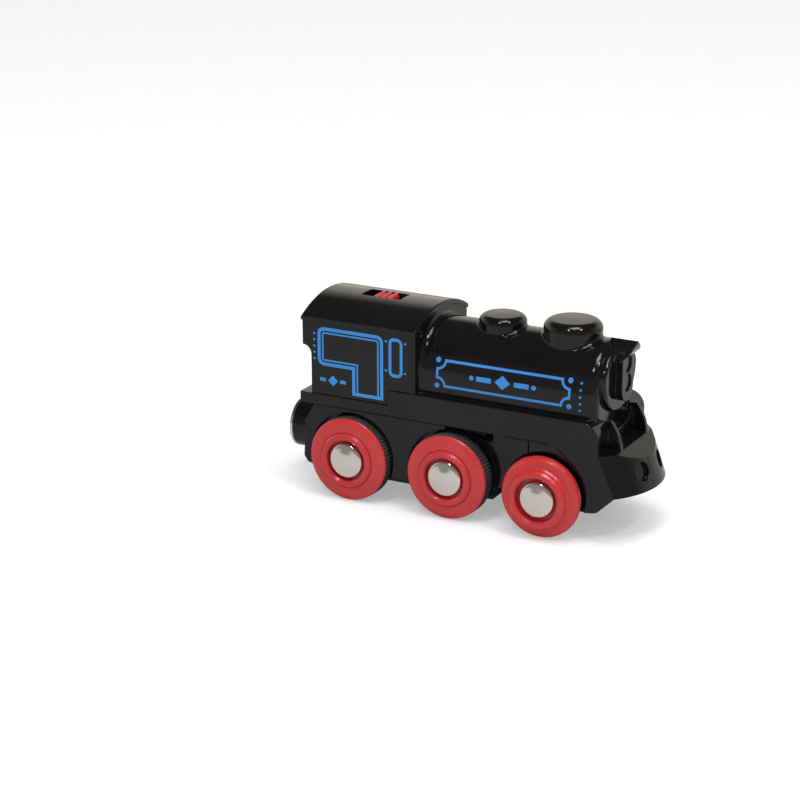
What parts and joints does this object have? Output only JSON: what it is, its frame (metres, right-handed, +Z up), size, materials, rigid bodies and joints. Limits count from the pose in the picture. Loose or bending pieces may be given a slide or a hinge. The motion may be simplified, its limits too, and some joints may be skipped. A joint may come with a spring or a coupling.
{
  "type": "toy locomotive",
  "caption": "Small black battery engine for wooden railway track: boiler with domes, cab with a sliding power switch, red wheels with chromed caps and a magnet coupler.",
  "frame": {"origin": "on the rail plane under the wheels, on the engine's centre line, at half its length within 0.5 mm", "axes": "+X towards the front, +Y to the engine's left, +Z up"},
  "size_m": [0.0918, 0.0368, 0.0466],
  "materials": {
    "black_plastic": "glossy black moulded ABS",
    "black_matte_plastic": "black moulded plastic, inner side",
    "red_plastic": "glossy red moulded ABS",
    "white_plastic": "natural nylon/acetal",
    "tyre_rubber": "dark grey-black rubber",
    "chrome": "bright chromed steel",
    "steel": "plain steel",
    "brass": "brass",
    "magnet": "plated ferrite or neodymium magnet",
    "copper_board": "green glass-fibre circuit board",
    "cell_sleeve": "shrink sleeve on the cell",
    "wire_red": "red wire insulation",
    "wire_black": "black wire insulation"
  },
  "bodies": {
    "engine_body": {"body_shell": "black_plastic", "cab_roof": "black_plastic", "chassis_frame": "black_plastic", "gearbox_cover": "black_matte_plastic", "gearbox_frame": "black_matte_plastic", "axle_bushes": "brass", "gear_pins": "steel", "motor_can": "steel", "motor_magnets": "magnet", "motor_end_cap": "black_matte_plastic", "battery_cell": "cell_sleeve", "cell_tab_rear": "steel", "cell_tab_front": "steel", "cell_cradle": "black_matte_plastic", "circuit_board": "copper_board", "body_screws": "steel", "cover_screws": "steel", "socket_shell": "steel", "socket_tongue": "black_matte_plastic", "switch_body": "black_matte_plastic", "coupler_holder": "black_plastic", "coupler_rivet": "steel", "cell_wire_front": "wire_red", "cell_wire_rear": "wire_red", "motor_wire_red": "wire_red", "switch_wire_red": "wire_red", "motor_wire_black": "wire_black", "switch_wire_black": "wire_black", "small_screws": "steel"},
    "middle_axle_set": {"middle_axle": "steel", "middle_axle_gear": "white_plastic", "middle_wheel_left": "red_plastic", "middle_wheel_right": "red_plastic", "middle_tyre_left": "tyre_rubber", "middle_tyre_right": "tyre_rubber", "middle_hub_cap_left": "chrome", "middle_hub_cap_right": "chrome"},
    "rear_axle_set": {"rear_axle": "steel", "rear_axle_gear": "white_plastic", "rear_wheel_left": "red_plastic", "rear_wheel_right": "red_plastic", "rear_tyre_left": "tyre_rubber", "rear_tyre_right": "tyre_rubber", "rear_hub_cap_left": "chrome", "rear_hub_cap_right": "chrome"},
    "front_axle_set": {"front_axle": "steel", "front_wheel_left": "red_plastic", "front_wheel_right": "red_plastic", "front_hub_cap_left": "chrome", "front_hub_cap_right": "chrome"},
    "transfer": {"transfer_gear": "white_plastic"},
    "second_reduction": {"second_gear": "white_plastic"},
    "first_reduction": {"first_gear": "white_plastic"},
    "motor_rotor": {"motor_shaft": "steel", "motor_pinion": "brass", "motor_armature": "steel"},
    "power_slider": {"switch_knob": "red_plastic", "switch_lever": "white_plastic"},
    "coupler_face": {"coupler_magnet": "magnet", "coupler_cap": "chrome"}
  },
  "joints": [
    {"name": "middle_axle_spin", "type": "hinge", "parent": "engine_body", "child": "middle_axle_set", "pos_m": [0.0004, 0, 0.0099], "axis": [0, 1, 0], "continuous": true},
    {"name": "rear_axle_spin", "type": "hinge", "parent": "engine_body", "child": "rear_axle_set", "pos_m": [-0.0249, 0, 0.0099], "axis": [0, 1, 0], "continuous": true},
    {"name": "front_axle_spin", "type": "hinge", "parent": "engine_body", "child": "front_axle_set", "pos_m": [0.02365, 0, 0.0094], "axis": [0, 1, 0], "continuous": true},
    {"name": "transfer_gear_spin", "type": "hinge", "parent": "engine_body", "child": "transfer", "pos_m": [-0.01225, 0, 0.0159], "axis": [0, 1, 0], "continuous": true},
    {"name": "second_gear_spin", "type": "hinge", "parent": "engine_body", "child": "second_reduction", "pos_m": [-0.00797, 0, 0.02764], "axis": [0, 1, 0], "continuous": true},
    {"name": "first_gear_spin", "type": "hinge", "parent": "engine_body", "child": "first_reduction", "pos_m": [0.00352, 0, 0.02807], "axis": [0, 1, 0], "continuous": true},
    {"name": "motor_spin", "type": "hinge", "parent": "engine_body", "child": "motor_rotor", "pos_m": [0.0044, 0, 0.0166], "axis": [0, 1, 0], "continuous": true},
    {"name": "power_switch_slide", "type": "slide", "parent": "engine_body", "child": "power_slider", "axis": [1, 0, 0], "range_m": [-0.002, 0.002]},
    {"name": "coupler_magnet_spin", "type": "hinge", "parent": "engine_body", "child": "coupler_face", "pos_m": [-0.0438, 0, 0.0113], "axis": [1, 0, 0], "continuous": true}
  ],
  "couplings": [
    {"joint": "motor_spin", "follows": "middle_axle_spin", "ratio": 20.736},
    {"joint": "first_gear_spin", "follows": "middle_axle_spin", "ratio": -5.76},
    {"joint": "second_gear_spin", "follows": "middle_axle_spin", "ratio": 1.6},
    {"joint": "transfer_gear_spin", "follows": "middle_axle_spin", "ratio": -0.4},
    {"joint": "rear_axle_spin", "follows": "middle_axle_spin", "ratio": 1}
  ]
}
